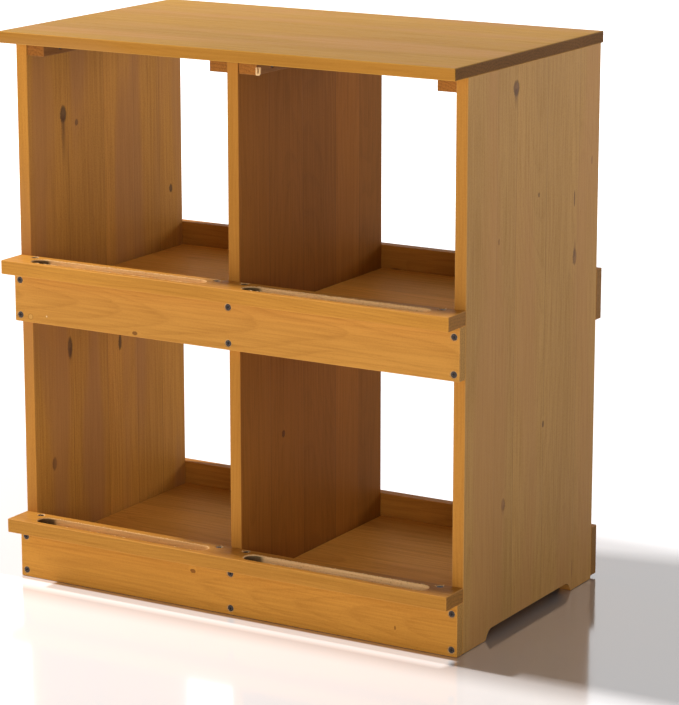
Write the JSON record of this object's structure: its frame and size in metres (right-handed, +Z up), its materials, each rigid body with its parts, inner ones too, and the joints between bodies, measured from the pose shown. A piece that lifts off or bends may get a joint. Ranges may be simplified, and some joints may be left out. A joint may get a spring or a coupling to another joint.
{
  "type": "nesting box",
  "caption": "Timber nesting box for hens, with side-by-side bays in stacked tiers, open front and back, perch ledges, lipped floors and a flat overhanging roof.",
  "frame": {"origin": "on the ground, at the middle of the overall width and depth", "axes": "+Z up, -Y out of the front of the bays, +X to the right of someone facing the bays"},
  "size_m": [0.651, 0.408, 0.717],
  "materials": {
    "roof_board": "satin honey stain on edge-glued softwood, grain along the width",
    "upright_board": "satin honey stain on edge-glued softwood staves, grain upright",
    "rail_board": "satin honey stain on planed softwood, grain along the rail",
    "floor_board": "thin honey stain on edge-glued softwood",
    "strip_wood": "honey stain on square softwood strip",
    "black_screw": "black phosphate, dull"
  },
  "bodies": {
    "root": {"left_side_panel": "upright_board", "centre_divider": "upright_board", "right_side_panel": "upright_board", "roof_panel": "roof_board", "lower_front_rail": "rail_board", "lower_back_rail": "rail_board", "lower_perch_ledge": "rail_board", "lower_left_floor": "floor_board", "lower_right_floor": "floor_board", "lower_left_bay_left_cleat": "strip_wood", "lower_left_bay_right_cleat": "strip_wood", "lower_right_bay_left_cleat": "strip_wood", "lower_right_bay_right_cleat": "strip_wood", "upper_front_rail": "rail_board", "upper_back_rail": "rail_board", "upper_perch_ledge": "rail_board", "upper_left_floor": "floor_board", "upper_right_floor": "floor_board", "upper_left_bay_left_cleat": "strip_wood", "upper_left_bay_right_cleat": "strip_wood", "upper_right_bay_left_cleat": "strip_wood", "upper_right_bay_right_cleat": "strip_wood", "left_bay_left_roof_batten": "strip_wood", "left_bay_right_roof_batten": "strip_wood", "right_bay_left_roof_batten": "strip_wood", "right_bay_right_roof_batten": "strip_wood", "lower_front_rail_screws": "black_screw", "lower_back_rail_screws": "black_screw", "lower_ledge_screws": "black_screw", "lower_cleat_screws": "black_screw", "upper_front_rail_screws": "black_screw", "upper_back_rail_screws": "black_screw", "upper_ledge_screws": "black_screw", "upper_cleat_screws": "black_screw", "roof_batten_screws": "black_screw", "roof_panel_screws": "black_screw"}
  },
  "joints": []
}
